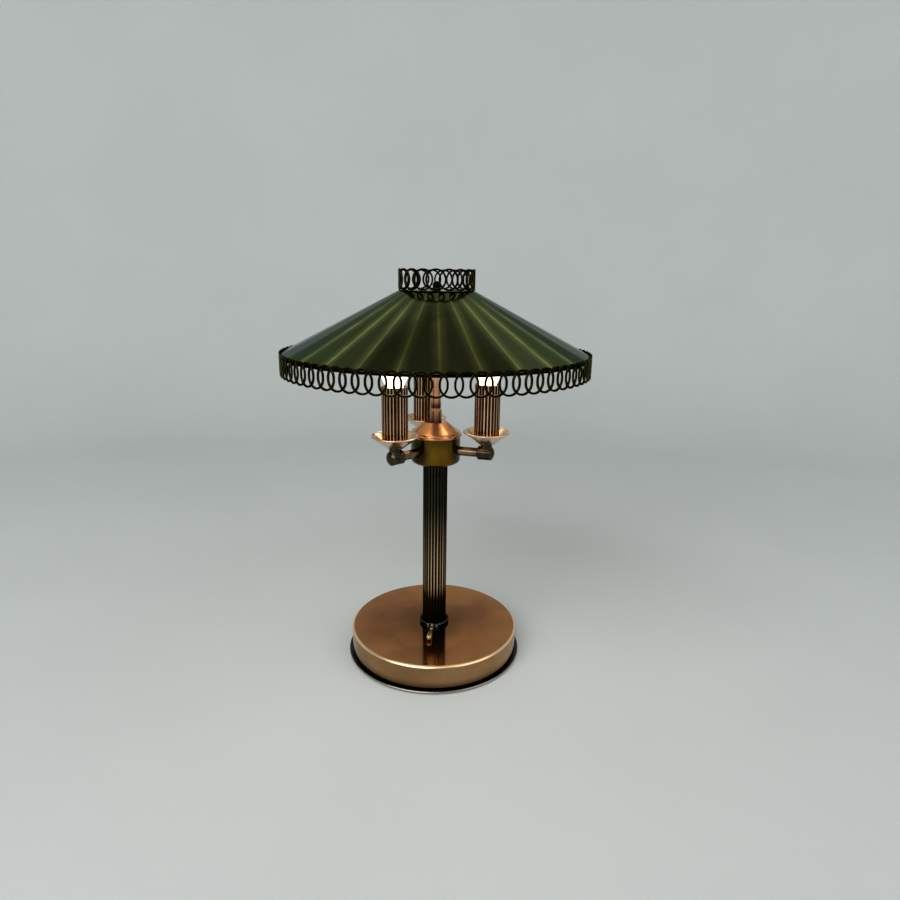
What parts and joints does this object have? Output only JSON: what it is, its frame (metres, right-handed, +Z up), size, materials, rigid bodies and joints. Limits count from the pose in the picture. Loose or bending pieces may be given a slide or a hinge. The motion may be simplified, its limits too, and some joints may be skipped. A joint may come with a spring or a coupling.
{
  "type": "table lamp",
  "caption": "Table lamp with a weighted round base, reeded column, candle arms with drip pans and a panelled cone shade edged with pierced galleries of interlaced rings.",
  "frame": {"origin": "on the table surface under the lamp's axis", "axes": "+Z up along the column, -Y towards the front, where the switch lever points"},
  "size_m": [0.298, 0.298, 0.3979],
  "materials": {
    "felt": "pressed wool felt",
    "foot": "black, worn bright on the edge",
    "steel": "plain turned steel",
    "iron": "rough casting",
    "copper": "copper plated, satin with brown patina",
    "black_resin": "moulded, matt",
    "dark_bronze": "dark patina, rubbed bright on the high spots",
    "olive_brass": "olive patina, satin",
    "pale_brass": "polished",
    "porcelain": "white glaze",
    "bulb_cap": "plain",
    "bulb_glass": "opal, lit",
    "green_lacquer": "gloss lacquer outside, white inside"
  },
  "bodies": {
    "stand": {"felt_pad": "felt", "base_plate": "foot", "plate_screws": "steel", "rod_washer": "steel", "rod_nut": "steel", "tie_rod": "steel", "cluster_nut": "steel", "arm_nuts": "steel", "switch_pin": "steel", "switch_screws": "steel", "nipple_1": "steel", "nipple_2": "steel", "nipple_3": "steel", "base_weight": "iron", "base_cover": "copper", "cluster_cap": "copper", "stem_socket": "copper", "stem_tube": "copper", "drip_pan_1": "copper", "drip_pan_2": "copper", "drip_pan_3": "copper", "candle_sleeve_1": "copper", "candle_sleeve_2": "copper", "candle_sleeve_3": "copper", "cord_bushing": "black_resin", "switch_body": "black_resin", "column_collar": "dark_bronze", "column_tube": "dark_bronze", "switch_bushing": "dark_bronze", "switch_nut": "dark_bronze", "arm_tube_1": "dark_bronze", "arm_tube_2": "dark_bronze", "arm_tube_3": "dark_bronze", "arm_end_1": "dark_bronze", "arm_end_2": "dark_bronze", "arm_end_3": "dark_bronze", "cluster_body": "olive_brass", "socket_contacts_1": "pale_brass", "socket_contacts_2": "pale_brass", "socket_contacts_3": "pale_brass", "terminal_block": "porcelain", "lampholder_1": "porcelain", "lampholder_2": "porcelain", "lampholder_3": "porcelain"},
    "lever": {"switch_lever": "pale_brass"},
    "shade": {"shade_spider": "dark_bronze", "shade_cone": "green_lacquer", "lower_gallery": "dark_bronze", "upper_gallery": "dark_bronze"},
    "finial": {"finial": "dark_bronze"},
    "bulb_1": {"bulb_cap_1": "bulb_cap", "bulb_glass_1": "bulb_glass"},
    "bulb_2": {"bulb_cap_2": "bulb_cap", "bulb_glass_2": "bulb_glass"},
    "bulb_3": {"bulb_cap_3": "bulb_cap", "bulb_glass_3": "bulb_glass"}
  },
  "joints": [
    {"name": "switch_lever", "type": "hinge", "parent": "stand", "child": "lever", "pos_m": [-0.00158, -0.01502, 0.0308], "axis": [-0.9945, 0.1045, 0], "range_deg": [0, 11]},
    {"name": "shade_turn", "type": "hinge", "parent": "stand", "child": "shade", "pos_m": [0, 0, 0.3726], "axis": [0, 0, 1], "continuous": true},
    {"name": "finial_turn", "type": "hinge", "parent": "stand", "child": "finial", "pos_m": [0, 0, 0.3772], "axis": [0, 0, 1], "continuous": true},
    {"name": "bulb_1_turn", "type": "hinge", "parent": "stand", "child": "bulb_1", "pos_m": [-0.03777, -0.03647, 0.27], "axis": [0, 0, 1], "continuous": true},
    {"name": "bulb_2_turn", "type": "hinge", "parent": "stand", "child": "bulb_2", "pos_m": [0.05047, -0.01447, 0.27], "axis": [0, 0, 1], "continuous": true},
    {"name": "bulb_3_turn", "type": "hinge", "parent": "stand", "child": "bulb_3", "pos_m": [-0.0127, 0.05094, 0.27], "axis": [0, 0, 1], "continuous": true}
  ]
}
